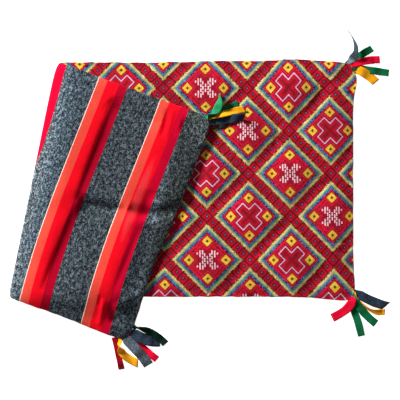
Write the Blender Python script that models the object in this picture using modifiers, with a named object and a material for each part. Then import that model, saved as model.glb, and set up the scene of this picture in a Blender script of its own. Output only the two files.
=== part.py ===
"""Quilted pad with a patterned face and a striped wool back, folded over on itself, with felt tassels.

Units are metres, +Z is up, and the origin is on the floor under the middle of the pad and its tassels.
The pad lies with its patterned face up. Its left part turns back over it along a slanted fold, so this
flap shows the wool back, and its free corner hangs over the pad's bottom edge down to the floor.
Lengthwise runs from the right end to the fold and on to the flap's end, crosswise from the bottom edge
to the top edge. The face with its filling is one padded solid, the wool back is one thin solid outside
it, and each tassel is a bar sewn at a corner with felt strips that spread out from it.
"""

import math
from collections import namedtuple

import bmesh
import bpy
import numpy as np

# Outline seen from above
RIGHT_END = 0.307
TOP_EDGE = 0.277
BOTTOM_EDGE = -0.193
FOLD_TOP = np.array([-0.2875, 0.280])
FOLD_BOTTOM = np.array([-0.382, -0.186])
FOLD_DRAWN_IN = 0.0045
DRAWN_IN_POWER = 24
FLAP_TOP_CORNER = np.array([0.026, 0.164])
FLAP_BOTTOM_CORNER = np.array([-0.143, -0.281])
FLAP_END_HOLLOW = 0.0060
HOLLOW_SHARE = 0.32
HOLLOW_WIDTH = 0.17
FLAP_HEM_BOW = 0.0035
HEM_BOW_POWER = 4.0
HEM_BOW_SHARE = 0.3
CORNER_PULL = 0.009
CORNER_REACH = 0.034

# Where the edges of the lower layer swell out past a straight line
Swell = namedtuple("Swell", "edge middle width out")
SWELLS = (
    Swell(edge="top", middle=0.045, width=0.075, out=0.0030),
    Swell(edge="top", middle=0.190, width=0.060, out=0.0065),
    Swell(edge="bottom", middle=0.310, width=0.075, out=0.0090),
    Swell(edge="right", middle=0.238, width=0.024, out=0.0070),
    Swell(edge="right", middle=-0.165, width=0.030, out=0.0035),
)
SWELL_REACH = 0.090

# Thicknesses of cloth and filling
BACK_CLOTH = 0.0020
RIM_FACE = 0.0019
GAP = 0.0003
CHANNEL_FILL = 0.0052
CROWN = 0.0012
PUFF = 0.0030
PRESSED_PUFF = 0.0008
FLAP_CROWN = 0.0085
CROWN_REACH = 0.090

# Heights of the seam surface, which parts the wool back from the face
FLOOR_LEVEL = BACK_CLOTH
TURN_RADIUS = 0.0060
TURN_ANGLE = math.radians(166)
FLAP_LEVEL = 0.0193
HANG = 0.0120
HANG_START = -0.015
HANG_WIDTH = 0.060
RIM_LIFT = 0.0035
RIM_REACH = 0.030
FILL_REACH = 0.045
FLAP_RIM_DROOP = 0.0030

# Trellis of diamonds that the face is quilted to
DIAMOND_HALF_X = 0.0836
DIAMOND_HALF_Y = 0.0858
DIAMOND_CENTRE = (0.1782, 0.2252)
CELLS_PER_HALF = 4
PUFF_POWER = 2.5

# Soft creases of the flap: across is the distance from the flap's end or from its bottom edge
Crease = namedtuple("Crease", "runs place depth width")
CREASES = (
    Crease(runs="lengthwise", place=0.225, depth=0.0024, width=0.020),
    Crease(runs="crosswise", place=0.208, depth=0.0012, width=0.014),
)

# How finely the surfaces are divided
RIM_COLUMN = 0.010
SLANTED_CELLS = 8
TURN_CELLS = 8
FLAP_CELLS = 16

# Colours of the cloths
WOVEN_RED = (0.42, 0.03, 0.05)
WOOL_GREY = (0.09, 0.10, 0.12)
FELT_GREEN = (0.02, 0.08, 0.04)
WOVEN_ROUGHNESS = 0.85
WOOL_ROUGHNESS = 0.95

# Felt strips
FELT = 0.0015
STRIP_STEPS = 8
STRIP_ROOT_WIDTH = 0.0055
LEVEL_STEP = 0.0019
BAR_DEPTH = 0.0060
BAR_HEIGHT = 0.0068
BAR_ROUND = 0.0012
BAR_GAP = 0.0005
REST_GAP = 0.0008

turn_end = FLOOR_LEVEL + TURN_RADIUS * (1.0 - math.cos(TURN_ANGLE))
fold_rise = FLAP_LEVEL - turn_end
fold_slope_reach = 2.0 * fold_rise / math.tan(math.pi - TURN_ANGLE)
fold_way = (FOLD_TOP - FOLD_BOTTOM) / np.linalg.norm(FOLD_TOP - FOLD_BOTTOM)
fold_out = np.array([-fold_way[1], fold_way[0]])
flap_up = FLAP_TOP_CORNER - FLAP_BOTTOM_CORNER
flap_up = flap_up / np.linalg.norm(flap_up)
flap_way = np.array([flap_up[1], -flap_up[0]])
turn_middle = FOLD_BOTTOM - (TURN_RADIUS + BACK_CLOTH) * fold_out


def smooth(x):
    """Rises from 0 to 1 as x goes from 0 to 1, level at both ends."""
    x = np.clip(x, 0.0, 1.0)
    return x * x * (3.0 - 2.0 * x)


def rounded(distance, reach):
    """0 on an edge and 1 from reach inwards, as a parabola with its top at reach."""
    return 1.0 - (1.0 - np.clip(distance / reach, 0.0, 1.0)) ** 2


def across_share(y):
    """0 at the bottom edge of the lower layer and 1 at its top edge."""
    return (y - BOTTOM_EDGE) / (TOP_EDGE - BOTTOM_EDGE)


def fold_x(y):
    """X at which a line of the lower layer starts to turn up: straight, and drawn in at its top corner."""
    drawn_in = FOLD_DRAWN_IN * np.clip(across_share(y), 0.0, 1.0) ** DRAWN_IN_POWER
    return turn_middle[0] + (y - turn_middle[1]) * fold_way[0] / fold_way[1] + drawn_in


def from_fold(x, y):
    """Distance on the plan from the fold's middle line, to the right of it."""
    return -((x - turn_middle[0]) * fold_out[0] + (y - turn_middle[1]) * fold_out[1])


def outside_flap(x, y):
    """Distance on the plan past the flap's end or above its top edge, negative under the flap."""
    dx = x - FLAP_TOP_CORNER[0]
    dy = y - FLAP_TOP_CORNER[1]
    return np.maximum(dx * flap_way[0] + dy * flap_way[1], dx * flap_up[0] + dy * flap_up[1])


def flap_height(x, y):
    """Height of the flap's seam surface: a parabola up from the fold, level on the lower layer, and
    hanging past its bottom edge."""
    over = smooth((BOTTOM_EDGE - y - HANG_START) / HANG_WIDTH)
    away = from_fold(x, y)
    up = FLAP_LEVEL - fold_rise * (1.0 - rounded(away, fold_slope_reach))
    return up - HANG * over * smooth(away / 0.09)


def diamond_place(x, y):
    """Place within a diamond along its two slanted ways, each from -1 to 1 between two channels."""
    p = (x - DIAMOND_CENTRE[0]) / DIAMOND_HALF_X
    q = (y - DIAMOND_CENTRE[1]) / DIAMOND_HALF_Y
    u = p + q
    v = p - q
    return u - 2.0 * np.round(u / 2.0), v - 2.0 * np.round(v / 2.0)


def face_fill(x, y, from_edge, from_end, crown, puff, sunk):
    """Thickness of the padded face: thin at the rim, crowned, sunk at the channels and puffed between.
    Where the surface above is sunk the fill is less, and where it rises the fill is more."""
    u, v = diamond_place(x, y)
    dome = (1.0 - np.abs(u) ** PUFF_POWER) * (1.0 - np.abs(v) ** PUFF_POWER)
    body = CHANNEL_FILL + crown * np.sin(np.pi * across_share(y)) + puff * dome - sunk
    soft = rounded(from_edge, FILL_REACH) * rounded(from_end, FILL_REACH)
    return RIM_FACE + (body - RIM_FACE) * soft


def lower_puff(x, y):
    """Height of the puffs on the lower layer, pressed down under the flap and gone at the fold."""
    free = smooth(outside_flap(x, y) / 0.035)
    return (PRESSED_PUFF + (PUFF - PRESSED_PUFF) * free) * smooth(from_fold(x, y) / 0.05)


def lower_top(x, y):
    """Height of the lower layer's face, for what lies on it."""
    from_edge = np.minimum(y - BOTTOM_EDGE, TOP_EDGE - y)
    fill = face_fill(x, y, from_edge, RIGHT_END - x, CROWN, lower_puff(x, y), 0.0)
    return FLOOR_LEVEL + GAP + fill


def swollen(x, y):
    """The plan of the lower layer with its edges' swells, each a bell that fades out inwards."""
    new_x, new_y = np.array(np.broadcast_arrays(x, y), float)
    for swell in SWELLS:
        place = y if swell.edge == "right" else x
        from_edge = {"top": TOP_EDGE - y, "bottom": y - BOTTOM_EDGE, "right": RIGHT_END - x}[swell.edge]
        moved = swell.out * np.exp(-(((place - swell.middle) / swell.width) ** 2))
        moved = moved * smooth(1.0 - from_edge / SWELL_REACH)
        if swell.edge == "right":
            new_x += moved
        else:
            new_y += moved if swell.edge == "top" else -moved
    return new_x, new_y


def crosswise_lines():
    """Places of the surface's rows: both edges, and lines that meet on the trellis."""
    step = DIAMOND_HALF_Y / CELLS_PER_HALF
    first = math.ceil((BOTTOM_EDGE - DIAMOND_CENTRE[1]) / step)
    last = math.floor((TOP_EDGE - DIAMOND_CENTRE[1]) / step)
    inner = DIAMOND_CENTRE[1] + step * np.arange(first, last + 1)
    return np.concatenate([[BOTTOM_EDGE], inner, [TOP_EDGE]])


def lengthwise_lines():
    """Places of the straight columns of the lower layer, from the right end as far as the slanted ones."""
    step = DIAMOND_HALF_X / CELLS_PER_HALF
    inner = DIAMOND_CENTRE[0] + step * np.arange(5, -16, -1)
    return np.concatenate([[RIGHT_END, RIGHT_END - RIM_COLUMN], inner])


def lower_columns(y):
    """Points of the lower layer: straight columns on the trellis, then columns that slant to the fold."""
    straight = lengthwise_lines()
    shares = np.arange(1, SLANTED_CELLS + 1) / SLANTED_CELLS
    x_last = straight[-1]
    slanted = x_last + shares[:, None] * (fold_x(y)[None, :] - x_last)
    x = np.concatenate([np.repeat(straight[:, None], len(y), axis=1), slanted])
    points = np.stack([*swollen(x, y), np.full(x.shape, FLOOR_LEVEL)], axis=-1)
    normals = np.zeros_like(points)
    normals[..., 2] = 1.0
    return points, normals, x


def turn_columns(y):
    """Points of the turn about the fold, with the slip along it that gives the flap its slant."""
    angle = TURN_ANGLE * np.arange(1, TURN_CELLS + 1) / TURN_CELLS
    first_slip = fold_way[0]
    last_slip = -float(flap_way @ fold_way)
    slip = TURN_RADIUS * (first_slip * angle + (last_slip - first_slip) * angle**2 / (2 * TURN_ANGLE))
    plan = np.stack([fold_x(y), y], axis=-1)[None]
    plan = plan + (TURN_RADIUS * np.sin(angle))[:, None, None] * fold_out
    plan = plan - slip[:, None, None] * fold_way
    z = FLOOR_LEVEL + TURN_RADIUS * (1.0 - np.cos(angle))
    points = np.concatenate([plan, np.broadcast_to(z[:, None, None], plan.shape[:2] + (1,))], axis=-1)
    normals = np.empty_like(points)
    normals[..., :2] = -np.sin(angle)[:, None, None] * fold_out
    normals[..., 2] = np.cos(angle)[:, None]
    along = fold_x(y)[None] - TURN_RADIUS * angle[:, None]
    return points, normals, along


def flap_columns(y, start):
    """Points of the flap, from the fold to its hollow end, with its bottom hem bowed out near the end."""
    share = across_share(y)[:, None]
    end = FLAP_BOTTOM_CORNER + share * (FLAP_TOP_CORNER - FLAP_BOTTOM_CORNER)
    end = end - FLAP_END_HOLLOW * np.exp(-(((share - HOLLOW_SHARE) / HOLLOW_WIDTH) ** 2)) * flap_way
    length = np.linalg.norm(end - start, axis=1)
    steps = np.append(np.linspace(0.0, 1.0 - RIM_COLUMN / length.mean(), FLAP_CELLS)[1:], 1.0)
    plan = start + steps[:, None, None] * (end - start)
    bow = FLAP_HEM_BOW * np.sin(np.pi * steps**HEM_BOW_POWER)
    low = np.clip(1.0 - share[:, 0] / HEM_BOW_SHARE, 0.0, 1.0) ** 2
    plan = plan - (bow[:, None] * low)[..., None] * flap_up
    x, y_plan = plan[..., 0], plan[..., 1]
    step = 0.001
    slope_x = (flap_height(x + step, y_plan) - flap_height(x - step, y_plan)) / (2 * step)
    slope_y = (flap_height(x, y_plan + step) - flap_height(x, y_plan - step)) / (2 * step)
    points = np.concatenate([plan, flap_height(x, y_plan)[..., None]], axis=-1)
    normals = np.stack([slope_x, slope_y, -np.ones_like(slope_x)], axis=-1)
    normals /= np.linalg.norm(normals, axis=-1, keepdims=True)
    return points, normals, length * (1.0 - steps[:, None]), length


def crease_depth(from_flap_end, from_bottom):
    """Depth of the flap's soft creases, each a trough with a bell section."""
    depth = np.zeros_like(from_flap_end)
    for crease in CREASES:
        place = from_bottom if crease.runs == "lengthwise" else from_flap_end
        depth += crease.depth * np.exp(-(((place - crease.place) / crease.width) ** 2))
    return depth


def pad_surfaces():
    """The four surfaces of the pad on one grid, and the trellis place of each of its points."""
    y = crosswise_lines()
    low, low_normal, low_x = lower_columns(y)
    turn, turn_normal, turn_x = turn_columns(y)
    flap, flap_normal, to_end, flap_length = flap_columns(y, turn[-1][:, :2])
    seam = np.concatenate([low, turn, flap])
    normal = np.concatenate([low_normal, turn_normal, flap_normal])
    flap_x = turn_x[-1] - (flap_length - to_end)
    along = np.concatenate([low_x, turn_x, flap_x])
    rows = np.broadcast_to(y, along.shape)
    from_edge = np.minimum(rows - BOTTOM_EDGE, TOP_EDGE - rows)
    on_flap = np.zeros(along.shape, bool)
    on_flap[-FLAP_CELLS:] = True
    from_end = RIGHT_END - along
    from_end[on_flap] = to_end.ravel()
    fold_near = smooth(np.abs(from_fold(seam[..., 0], seam[..., 1])) / 0.06)

    inside = rounded(from_edge, CROWN_REACH) * rounded(from_end, CROWN_REACH) * fold_near
    sunk = np.zeros(along.shape)
    troughs = crease_depth(to_end, rows[-FLAP_CELLS:] - BOTTOM_EDGE)
    sunk[-FLAP_CELLS:] = (troughs - FLAP_CROWN) * inside[-FLAP_CELLS:]
    puff = np.where(on_flap, PRESSED_PUFF * fold_near, 0.0)
    puff[: len(low)] = lower_puff(low[..., 0], low[..., 1])
    fill = face_fill(along, rows, from_edge, from_end, CROWN * fold_near, puff, sunk)

    edge = 1.0 - rounded(from_edge, RIM_REACH) * rounded(from_end, RIM_REACH)
    corner = np.clip(1.0 - (from_edge + from_end) / CORNER_REACH, 0.0, 1.0) ** 2
    middle = seam[..., :2].mean(axis=1, keepdims=True)
    inwards = middle - seam[..., :2]
    inwards /= np.linalg.norm(inwards, axis=-1, keepdims=True) + 1e-9
    lengthways = np.where(on_flap[..., None], -flap_way, np.array([-1.0, 0.0]))
    seam = seam + (RIM_LIFT * edge**2 + sunk)[..., None] * normal
    seam[..., :2] += (CORNER_PULL * corner)[..., None] * (inwards + lengthways) / math.sqrt(2.0)
    seam[..., 2] -= np.where(on_flap, FLAP_RIM_DROOP * edge**1.5 * fold_near, 0.0)

    face_outer = seam + (GAP + fill)[..., None] * normal
    face_outer[..., 2] = np.maximum(face_outer[..., 2], 0.0)
    return {
        "back_outer": seam - BACK_CLOTH * normal,
        "back_inner": seam,
        "face_inner": seam + GAP * normal,
        "face_outer": face_outer,
        "place": diamond_place(along, rows),
    }


def new_collection(name):
    made = bpy.data.collections.new(name)
    bpy.context.scene.collection.children.link(made)
    return made


def material(name, colour, roughness):
    made = bpy.data.materials.new(name)
    made.use_nodes = True
    shader = made.node_tree.nodes["Principled BSDF"]
    shader.inputs["Base Color"].default_value = (*colour, 1.0)
    shader.inputs["Roughness"].default_value = roughness
    return made


def add_object(bm, name, collection, finish):
    """A smooth-shaded object from a bmesh, with outward faces."""
    bmesh.ops.recalc_face_normals(bm, faces=bm.faces)
    mesh = bpy.data.meshes.new(name)
    bm.to_mesh(mesh)
    bm.free()
    mesh.shade_smooth()
    mesh.materials.append(finish)
    made = bpy.data.objects.new(name, mesh)
    collection.objects.link(made)
    return made


def lay_grid(bm, points):
    """Adds a grid whose points lie on the given surface, and returns its vertices by column and row."""
    columns, rows = points.shape[:2]
    made = bmesh.ops.create_grid(bm, x_segments=columns - 1, y_segments=rows - 1, size=1.0)
    by_place = {}
    for vertex in made["verts"]:
        i = round((vertex.co.x + 1.0) / 2.0 * (columns - 1))
        j = round((vertex.co.y + 1.0) / 2.0 * (rows - 1))
        vertex.co = points[i, j]
        by_place[i, j] = vertex
    return by_place


def split_along_channels(by_place, place):
    """Cuts each quad of the face along the diagonal that runs with the nearer quilted channel."""
    u, v = (np.abs(way) for way in place)
    columns, rows = u.shape
    for i in range(columns - 1):
        for j in range(rows - 1):
            near_u = u[i, j] + u[i + 1, j + 1]
            near_v = v[i + 1, j] + v[i, j + 1]
            if near_u > near_v:
                ends = by_place[i, j], by_place[i + 1, j + 1]
            else:
                ends = by_place[i + 1, j], by_place[i, j + 1]
            shared = set(ends[0].link_faces) & set(ends[1].link_faces)
            bmesh.utils.face_split(shared.pop(), *ends)


def sheet_solid(name, outer, inner, collection, finish, place=None):
    """A closed solid between two grids of the same division, joined round their rims."""
    bm = bmesh.new()
    outer_points = lay_grid(bm, outer)
    lay_grid(bm, inner)
    rim = [edge for edge in bm.edges if edge.is_boundary]
    bmesh.ops.bridge_loops(bm, edges=rim)
    if place is not None:
        split_along_channels(outer_points, place)
    return add_object(bm, name, collection, finish)


Strip = namedtuple("Strip", "felt seat bend_x bend_y tip_x tip_y width level tip_level roll")
Tassel = namedtuple("Tassel", "name corner bar_way bar_length on_pad strips")


def tassel_tables():
    """One tassel for each corner. Seats are places along the bar, and bends and tips are from the corner."""
    lower_top_strips = (
        Strip("charcoal", 0.009, 0.008, 0.034, -0.006, 0.065, 0.013, 2, 0, 65),
        Strip("dark_green", 0.005, 0.026, 0.020, 0.043, 0.030, 0.015, 1, 0, 0),
        Strip("red", 0.000, 0.030, 0.003, 0.059, 0.007, 0.016, 2, 1, 0),
        Strip("dark_green", -0.004, 0.040, -0.014, 0.078, -0.020, 0.015, 0, 0, 0),
        Strip("yellow", -0.008, 0.022, -0.022, 0.050, -0.040, 0.016, 1, 0, 0),
    )
    lower_bottom_strips = (
        Strip("red", -0.012, -0.007, -0.026, -0.038, -0.044, 0.017, 1, 0, 0),
        Strip("dark_green", -0.005, 0.010, -0.040, 0.021, -0.080, 0.016, 0, 0, 0),
        Strip("dark_green", 0.001, 0.023, -0.027, 0.050, -0.054, 0.015, 1, 0, 0),
        Strip("yellow", 0.007, 0.034, -0.021, 0.067, -0.031, 0.014, 0, 0, 0),
        Strip("navy", 0.012, 0.036, -0.007, 0.071, -0.018, 0.016, 2, 1, 0),
    )
    flap_top_strips = (
        Strip("light_green", 0.007, 0.014, 0.016, 0.024, 0.046, 0.012, 1, 0, 30),
        Strip("dark_green", 0.003, 0.034, 0.021, 0.060, 0.034, 0.013, 0, 0, 0),
        Strip("yellow", 0.000, 0.040, 0.009, 0.074, 0.013, 0.015, 1, 1, 0),
        Strip("navy", -0.005, 0.034, -0.002, 0.066, 0.002, 0.013, 2, 2, 0),
        Strip("dark_red", -0.009, 0.016, -0.012, 0.031, -0.017, 0.010, 1, 0, 0),
    )
    flap_bottom_strips = (
        Strip("red", -0.022, -0.018, -0.031, -0.010, -0.059, 0.014, 1, 0, 0),
        Strip("yellow", -0.013, -0.009, -0.029, 0.023, -0.047, 0.014, 0, 0, 0),
        Strip("grey", -0.004, 0.026, -0.024, 0.044, -0.050, 0.018, 2, 1, 0),
        Strip("red", 0.004, 0.038, -0.020, 0.061, -0.038, 0.014, 0, 0, 0),
        Strip("navy", 0.014, 0.042, -0.002, 0.064, -0.014, 0.013, 1, 0, 0),
        Strip("dark_green", 0.022, 0.046, 0.018, 0.079, -0.008, 0.015, 2, 1, 20),
    )
    return (
        Tassel("tassel_lower_top", (0.302, 0.275), (-0.57, 0.82), 0.026, False, lower_top_strips),
        Tassel("tassel_lower_bottom", (0.303, -0.192), (0.55, 0.84), 0.034, False, lower_bottom_strips),
        Tassel("tassel_flap_top", (0.018, 0.163), (-0.47, 0.88), 0.024, True, flap_top_strips),
        Tassel("tassel_flap_bottom", (-0.147, -0.280), (0.92, 0.39), 0.056, False, flap_bottom_strips),
    )


def strip_surface(strip, root, root_height, corner, ground):
    """Two edge lines of a strip along a curve through its root, bend and tip, with its roll and levels."""
    t = np.linspace(0.0, 1.0, STRIP_STEPS + 1)[:, None]
    tip = np.array([strip.tip_x, strip.tip_y]) + corner
    bend = np.array([strip.bend_x, strip.bend_y]) + corner
    pull = 2.0 * bend - (root + tip) / 2.0
    line = (1 - t) ** 2 * root + 2 * t * (1 - t) * pull + t**2 * tip
    way = 2 * (1 - t) * (pull - root) + 2 * t * (tip - pull)
    way /= np.linalg.norm(way, axis=1, keepdims=True)
    side = np.stack([-way[:, 1], way[:, 0]], axis=1)
    share = t[:, 0]
    width = STRIP_ROOT_WIDTH + (strip.width - STRIP_ROOT_WIDTH) * smooth(share / 0.4)
    roll = math.radians(strip.roll) * smooth(share / 0.5)
    fall = smooth((share - 0.35) / 0.65)
    level = strip.level + (strip.tip_level - strip.level) * fall
    floor = np.max([ground(line + side * width[:, None] * s) for s in (-0.5, 0.0, 0.5)], axis=0)
    rest = floor + LEVEL_STEP * level + 0.5 * FELT * np.cos(roll) + 0.5 * width * np.sin(roll)
    root_rest = root_height + LEVEL_STEP * strip.level + 0.5 * FELT
    height = root_rest + (rest - root_rest) * smooth(share / 0.3)
    half = 0.5 * width[:, None] * np.cos(roll)[:, None] * side
    rise = 0.5 * width * np.sin(roll)
    left = np.column_stack([line + half, height + rise])
    right = np.column_stack([line - half, height - rise])
    return np.stack([left, right], axis=1)


def rim_line(surfaces, beside):
    """Points of the pad's rim near a corner, for setting a tassel's bar just clear of them."""
    rings = []
    for name in ("back_outer", "face_outer"):
        grid = surfaces[name]
        rings += [grid[0], grid[-1], grid[:, 0], grid[:, -1]]
    points = np.concatenate(rings)
    return points[np.linalg.norm(points[:, :2] - beside, axis=1) < 0.04]


def add_tassel(tassel, surfaces, strips_collection, parts, finish):
    """A rounded bar just outside a corner, with the felt strips joined to it."""
    corner = np.array(tassel.corner)
    bar_way = np.array(tassel.bar_way) / np.linalg.norm(tassel.bar_way)
    out = np.array([bar_way[1], -bar_way[0]])
    rim = rim_line(surfaces, corner)
    reach = float(np.max((rim[:, :2] - corner) @ out))
    bar = corner + (reach + BAR_GAP + BAR_DEPTH / 2) * out
    if tassel.on_pad:
        def ground(plan):
            return lower_top(plan[:, 0], plan[:, 1]) + REST_GAP
        spots = bar + np.linspace(-0.5, 0.5, 5)[:, None] * tassel.bar_length * bar_way
        base = float(ground(spots).max())
    else:
        def ground(plan):
            return np.zeros(len(plan))
        base = 0.0

    bm = bmesh.new()
    bmesh.ops.create_cube(bm, size=1.0)
    turn = math.atan2(bar_way[1], bar_way[0])
    for vertex in bm.verts:
        x, y, z = vertex.co
        x *= tassel.bar_length
        y *= BAR_DEPTH
        vertex.co.x = bar[0] + x * math.cos(turn) - y * math.sin(turn)
        vertex.co.y = bar[1] + x * math.sin(turn) + y * math.cos(turn)
        vertex.co.z = base + (z + 0.5) * BAR_HEIGHT
    head = add_object(bm, tassel.name, parts, finish)
    bevel = head.modifiers.new("rounded", "BEVEL")
    bevel.width = BAR_ROUND
    bevel.segments = 2
    for number, strip in enumerate(tassel.strips, start=1):
        root = bar + strip.seat * bar_way
        grid = strip_surface(strip, root, base + 0.0004, corner, ground)
        bm = bmesh.new()
        lay_grid(bm, grid)
        piece = add_object(bm, f"{tassel.name}_{strip.felt}_{number}", strips_collection, finish)
        piece.hide_render = True
        piece.display_type = "WIRE"
        felt = piece.modifiers.new("felt", "SOLIDIFY")
        felt.thickness = FELT
        felt.offset = 0.0
        joined = head.modifiers.new(strip.felt, "BOOLEAN")
        joined.operation = "UNION"
        joined.solver = "EXACT"
        joined.object = piece
    return head


def clear_scene():
    for old in list(bpy.data.objects):
        bpy.data.objects.remove(old)


def main():
    clear_scene()
    parts = new_collection("straddle_pillow")
    strips = new_collection("strips_to_join")
    strips.hide_render = True
    surfaces = pad_surfaces()
    woven = material("woven_face", WOVEN_RED, WOVEN_ROUGHNESS)
    wool = material("grey_wool", WOOL_GREY, WOOL_ROUGHNESS)
    sheet_solid(
        "pillow_face", surfaces["face_outer"], surfaces["face_inner"], parts, woven, surfaces["place"]
    )
    sheet_solid("pillow_back", surfaces["back_outer"], surfaces["back_inner"], parts, wool)
    for tassel in tassel_tables():
        felt = material(f"felt_of_{tassel.name}", FELT_GREEN, WOOL_ROUGHNESS)
        add_tassel(tassel, surfaces, strips, parts, felt)


main()
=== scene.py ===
from collections import namedtuple
from functools import partial

import bpy
import numpy as np
from numpy.linalg import norm
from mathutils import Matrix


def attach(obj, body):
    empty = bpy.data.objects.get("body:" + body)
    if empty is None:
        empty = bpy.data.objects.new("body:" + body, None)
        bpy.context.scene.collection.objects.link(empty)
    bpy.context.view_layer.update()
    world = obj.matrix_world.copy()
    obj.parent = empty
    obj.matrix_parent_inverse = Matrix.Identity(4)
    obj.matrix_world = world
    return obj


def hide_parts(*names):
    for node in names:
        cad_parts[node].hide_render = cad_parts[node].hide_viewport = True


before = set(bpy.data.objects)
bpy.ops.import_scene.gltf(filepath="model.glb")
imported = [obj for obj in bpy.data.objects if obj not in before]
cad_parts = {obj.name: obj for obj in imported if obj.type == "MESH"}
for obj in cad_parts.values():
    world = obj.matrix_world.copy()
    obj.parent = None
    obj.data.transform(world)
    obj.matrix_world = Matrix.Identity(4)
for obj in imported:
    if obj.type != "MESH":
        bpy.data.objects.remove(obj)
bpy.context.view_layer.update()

# The lay of the pad. It lies flat with its patterned face up, and its left part is turned back over it
# along a slanted fold. Face and back are sewn together all round, and both follow the seam surface that
# this section works out, from the right end to the fold and on to the flap's end.

RIGHT_END = 0.307
TOP_EDGE = 0.277
BOTTOM_EDGE = -0.193
FOLD_TOP = np.array([-0.2875, 0.280])
FOLD_BOTTOM = np.array([-0.382, -0.186])
FOLD_DRAWN_IN = 0.0045
DRAWN_IN_POWER = 24
FLAP_TOP_CORNER = np.array([0.026, 0.164])
FLAP_BOTTOM_CORNER = np.array([-0.143, -0.281])
FLAP_END_HOLLOW = 0.0060
HOLLOW_SHARE = 0.32
HOLLOW_WIDTH = 0.17
FLAP_HEM_BOW = 0.0035
HEM_BOW_POWER = 4.0
HEM_BOW_SHARE = 0.3
CORNER_PULL = 0.009
CORNER_REACH = 0.034

# Where the edges swell: the edge, the middle along it, half the width and how far it goes out
SWELLS = (
    ("top", 0.045, 0.075, 0.0030),
    ("top", 0.190, 0.060, 0.0065),
    ("bottom", 0.310, 0.075, 0.0090),
    ("right", 0.238, 0.024, 0.0070),
    ("right", -0.165, 0.030, 0.0035),
)
SWELL_REACH = 0.090

BACK_CLOTH = 0.0020
RIM_FACE = 0.0019
GAP = 0.0003
FLOOR_LEVEL = BACK_CLOTH
TURN_RADIUS = 0.0060
TURN_ANGLE = np.radians(166)
FLAP_LEVEL = 0.0193
HANG = 0.0120
HANG_START = -0.015
HANG_WIDTH = 0.060
HANG_FROM_FOLD = 0.090
RIM_LIFT = 0.0035
FLAP_RIM_LIFT = 0.0012
RIM_REACH = 0.030
FLAP_RIM_DROOP = 0.0016
FOLD_REACH = 0.060

# Grid pitch of the cloths, and the finer steps in from a sewn edge, where the cloth turns over
PITCH = 0.0033
EDGE_STEPS = np.array([0.0, 0.0003, 0.0009, 0.0018, 0.0030, 0.0048])
TURN_CELLS = 14

turn_end = FLOOR_LEVEL + TURN_RADIUS * (1.0 - np.cos(TURN_ANGLE))
fold_rise = FLAP_LEVEL - turn_end
fold_slope_reach = 2.0 * fold_rise / np.tan(np.pi - TURN_ANGLE)
fold_way = (FOLD_TOP - FOLD_BOTTOM) / norm(FOLD_TOP - FOLD_BOTTOM)
fold_out = np.array([-fold_way[1], fold_way[0]])
flap_up = FLAP_TOP_CORNER - FLAP_BOTTOM_CORNER
flap_up = flap_up / norm(flap_up)
flap_way = np.array([flap_up[1], -flap_up[0]])
turn_middle = FOLD_BOTTOM - (TURN_RADIUS + BACK_CLOTH) * fold_out


def smooth(x):
    """Rises from 0 to 1 as x goes from 0 to 1, level at both ends."""
    x = np.clip(x, 0.0, 1.0)
    return x * x * (3.0 - 2.0 * x)


def rounded(distance, reach):
    """0 on an edge and 1 from reach inwards, as a parabola with its top at reach."""
    return 1.0 - (1.0 - np.clip(distance / reach, 0.0, 1.0)) ** 2


def unevenness(along, across, pitch, seed):
    """A soft field from -1 to 1: random values on a square grid of that pitch, joined by smooth steps."""
    cells = 97
    values = np.random.default_rng(seed).uniform(-1.0, 1.0, (cells, cells))
    i = np.floor(along / pitch).astype(int)
    j = np.floor(across / pitch).astype(int)
    s = smooth(along / pitch - i)
    t = smooth(across / pitch - j)
    near, far = (
        values[i % cells, row % cells] * (1.0 - s) + values[(i + 1) % cells, row % cells] * s
        for row in (j, j + 1)
    )
    return near * (1.0 - t) + far * t


def across_share(y):
    """0 at the bottom edge of the lower layer and 1 at its top edge."""
    return (y - BOTTOM_EDGE) / (TOP_EDGE - BOTTOM_EDGE)


def fold_x(y):
    """X at which a line of the lower layer starts to turn up: straight, and drawn in at its top corner."""
    drawn_in = FOLD_DRAWN_IN * np.clip(across_share(y), 0.0, 1.0) ** DRAWN_IN_POWER
    return turn_middle[0] + (y - turn_middle[1]) * fold_way[0] / fold_way[1] + drawn_in


def from_fold(place):
    """Distance on the plan from the fold's middle line, to the right of it."""
    return -((place[..., :2] - turn_middle) @ fold_out)


def outside_flap(place):
    """Distance on the plan past the flap's end or above its top edge, negative under the flap."""
    past = place[..., :2] - FLAP_TOP_CORNER
    return np.maximum(past @ flap_way, past @ flap_up)


def flap_height(place):
    """Height of the flap's seam surface: a parabola up from the fold, then level, then hanging."""
    over = smooth((BOTTOM_EDGE - place[..., 1] - HANG_START) / HANG_WIDTH)
    away = from_fold(place)
    up = FLAP_LEVEL - fold_rise * (1.0 - rounded(away, fold_slope_reach))
    return up - HANG * over * smooth(away / HANG_FROM_FOLD)


def swollen(x, y):
    """The plan of the lower layer with its edges' swells, each a bell that fades out inwards."""
    new_x, new_y = np.array(np.broadcast_arrays(x, y), float)
    for edge, middle, width, out in SWELLS:
        place = y if edge == "right" else x
        from_edge = {"top": TOP_EDGE - y, "bottom": y - BOTTOM_EDGE, "right": RIGHT_END - x}[edge]
        moved = out * np.exp(-(((place - middle) / width) ** 2)) * smooth(1.0 - from_edge / SWELL_REACH)
        if edge == "right":
            new_x += moved
        else:
            new_y += moved if edge == "top" else -moved
    return new_x, new_y


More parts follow.
